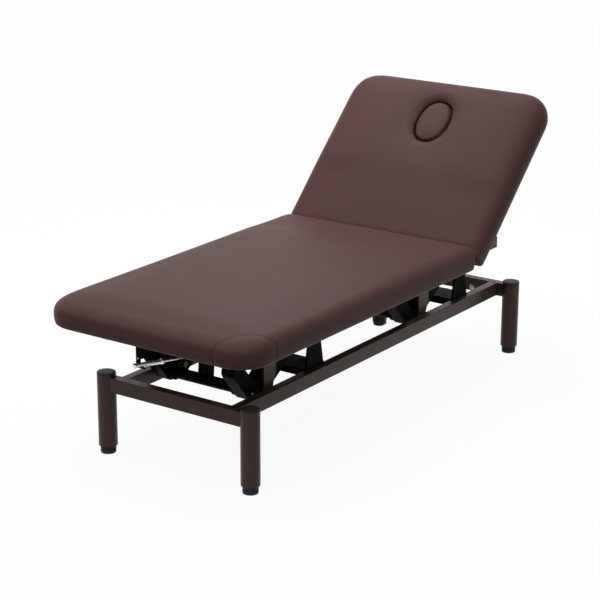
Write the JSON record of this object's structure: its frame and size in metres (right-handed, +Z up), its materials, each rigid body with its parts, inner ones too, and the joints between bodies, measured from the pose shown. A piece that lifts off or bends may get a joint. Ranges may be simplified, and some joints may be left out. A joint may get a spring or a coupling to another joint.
{
  "type": "reclining massage bed",
  "caption": "Low treatment bed on a steel base, with a seat section on a parallel-arm lift and a hinged back section with a face hole and plug.",
  "frame": {"origin": "floor level under the middle of the bed's bounding box, feet fully in, seat at its lowest and back raised 43.87 degrees", "axes": "+X towards the head end, +Y to the right of someone lying face up with their head at +X, +Z up"},
  "size_m": [1.7128, 0.75, 0.9004],
  "materials": {
    "brown_powder_coat": "dark brown satin powder coat",
    "black_steel": "satin black paint",
    "black_plastic": "fine matt grain",
    "brown_leather": "soft semi-gloss upholstery leather, fine grain",
    "chrome": "polished",
    "zinc": "zinc plated",
    "plywood": "raw plywood"
  },
  "bodies": {
    "base": {"leg_foot_left": "brown_powder_coat", "leg_cap_foot_left": "black_plastic", "arm_post_foot_left": "black_steel", "leg_foot_right": "brown_powder_coat", "leg_cap_foot_right": "black_plastic", "arm_post_foot_right": "black_steel", "leg_head_left": "brown_powder_coat", "leg_cap_head_left": "black_plastic", "arm_post_head_left": "black_steel", "leg_head_right": "brown_powder_coat", "leg_cap_head_right": "black_plastic", "arm_post_head_right": "black_steel", "base_end_rail_foot": "brown_powder_coat", "base_channel_foot": "black_steel", "base_end_rail_head": "brown_powder_coat", "base_channel_head": "black_steel", "base_side_rail_left": "brown_powder_coat", "base_side_rail_right": "brown_powder_coat"},
    "levelling_foot_foot_left": {"levelling_foot_foot_left": "black_plastic"},
    "levelling_foot_foot_right": {"levelling_foot_foot_right": "black_plastic"},
    "levelling_foot_head_left": {"levelling_foot_head_left": "black_plastic"},
    "levelling_foot_head_right": {"levelling_foot_head_right": "black_plastic"},
    "foot_arm": {"lift_arm_foot": "black_steel", "actuator_pin": "zinc"},
    "head_arm": {"lift_arm_head": "black_steel"},
    "tie_rods": {"tie_rod_left": "black_steel", "tie_rod_right": "black_steel"},
    "seat_frame": {"hanger_foot_left": "brown_powder_coat", "hanger_foot_right": "brown_powder_coat", "hanger_head_left": "brown_powder_coat", "hanger_head_right": "brown_powder_coat", "seat_frame_rail_left": "brown_powder_coat", "hinge_bracket_left": "black_steel", "hinge_pin_left": "zinc", "seat_frame_rail_right": "brown_powder_coat", "hinge_bracket_right": "black_steel", "hinge_pin_right": "zinc", "seat_crossbar_foot": "black_steel", "seat_crossbar_middle": "black_steel", "seat_crossbar_strut": "black_steel", "seat_board": "plywood", "seat_cushion": "brown_leather", "back_rest_bar": "black_steel", "release_plate": "black_steel", "control_box": "black_plastic", "actuator_tube": "black_steel", "actuator_gearbox": "black_plastic", "actuator_motor": "black_plastic", "actuator_saddle": "black_steel"},
    "actuator_rod": {"actuator_rod": "chrome"},
    "back": {"back_cushion": "brown_leather", "back_board": "plywood", "back_rail_left": "black_steel", "back_rail_right": "black_steel", "back_crossbar_lower": "black_steel", "back_crossbar_upper": "black_steel"},
    "face_plug": {"face_plug": "brown_leather"},
    "strut_cylinder": {"strut_cylinder": "black_steel"},
    "strut_rod": {"strut_rod": "chrome"},
    "release_handle": {"release_handle": "chrome"}
  },
  "joints": [
    {"name": "levelling_foot_left", "type": "slide", "parent": "base", "child": "levelling_foot_foot_left", "axis": [0, 0, -1], "range_m": [0, 0.012]},
    {"name": "levelling_foot_right", "type": "slide", "parent": "base", "child": "levelling_foot_foot_right", "axis": [0, 0, -1], "range_m": [0, 0.012]},
    {"name": "levelling_head_left", "type": "slide", "parent": "base", "child": "levelling_foot_head_left", "axis": [0, 0, -1], "range_m": [0, 0.012]},
    {"name": "levelling_head_right", "type": "slide", "parent": "base", "child": "levelling_foot_head_right", "axis": [0, 0, -1], "range_m": [0, 0.012]},
    {"name": "lift", "type": "hinge", "parent": "base", "child": "foot_arm", "pos_m": [-0.29002, 0, 0.385], "axis": [0, 1, 0], "range_deg": [0, 65]},
    {"name": "head_arm_hinge", "type": "hinge", "parent": "base", "child": "head_arm", "pos_m": [0.55998, 0, 0.385], "axis": [0, 1, 0], "range_deg": [0, 65]},
    {"name": "seat_frame_hinge", "type": "hinge", "parent": "foot_arm", "child": "seat_frame", "pos_m": [-0.50402, 0, 0.248], "axis": [0, 1, 0], "range_deg": [-65, 0]},
    {"name": "tie_rod_hinge", "type": "hinge", "parent": "foot_arm", "child": "tie_rods", "pos_m": [-0.61782, 0, 0.3], "axis": [0, 1, 0], "range_deg": [-65, 0]},
    {"name": "actuator_rod_hinge", "type": "hinge", "parent": "foot_arm", "child": "actuator_rod", "pos_m": [-0.55775, 0, 0.33234], "axis": [0, 1, 0], "range_deg": [-65, 0]},
    {"name": "back_tilt", "type": "hinge", "parent": "seat_frame", "child": "back", "pos_m": [0.38148, 0, 0.47], "axis": [0, -1, 0], "range_deg": [-43.87, 26.13]},
    {"name": "strut_cylinder_hinge", "type": "hinge", "parent": "seat_frame", "child": "strut_cylinder", "pos_m": [0.24498, 0.07, 0.33], "axis": [0, -1, 0], "range_deg": [-22, 13]},
    {"name": "strut_rod_hinge", "type": "hinge", "parent": "back", "child": "strut_rod", "pos_m": [0.56529, 0.07, 0.46637], "axis": [0, -1, 0], "range_deg": [-14, 23]},
    {"name": "face_plug_slide", "type": "slide", "parent": "back", "child": "face_plug", "axis": [-0.693, 0, 0.7209], "range_m": [0, 0.2]},
    {"name": "release_pull", "type": "slide", "parent": "seat_frame", "child": "release_handle", "axis": [-0.96, 0.2697, 0.0755], "range_m": [0, 0.012], "stiffness_N_per_m": 600}
  ],
  "couplings": [
    {"joint": "head_arm_hinge", "follows": "lift", "ratio": 1},
    {"joint": "seat_frame_hinge", "follows": "lift", "ratio": -1},
    {"joint": "tie_rod_hinge", "follows": "lift", "ratio": -1},
    {"joint": "actuator_rod_hinge", "follows": "lift", "ratio": -1},
    {"joint": "strut_cylinder_hinge", "follows": "back_tilt", "ratio": 0.48},
    {"joint": "strut_rod_hinge", "follows": "back_tilt", "ratio": -0.52}
  ]
}
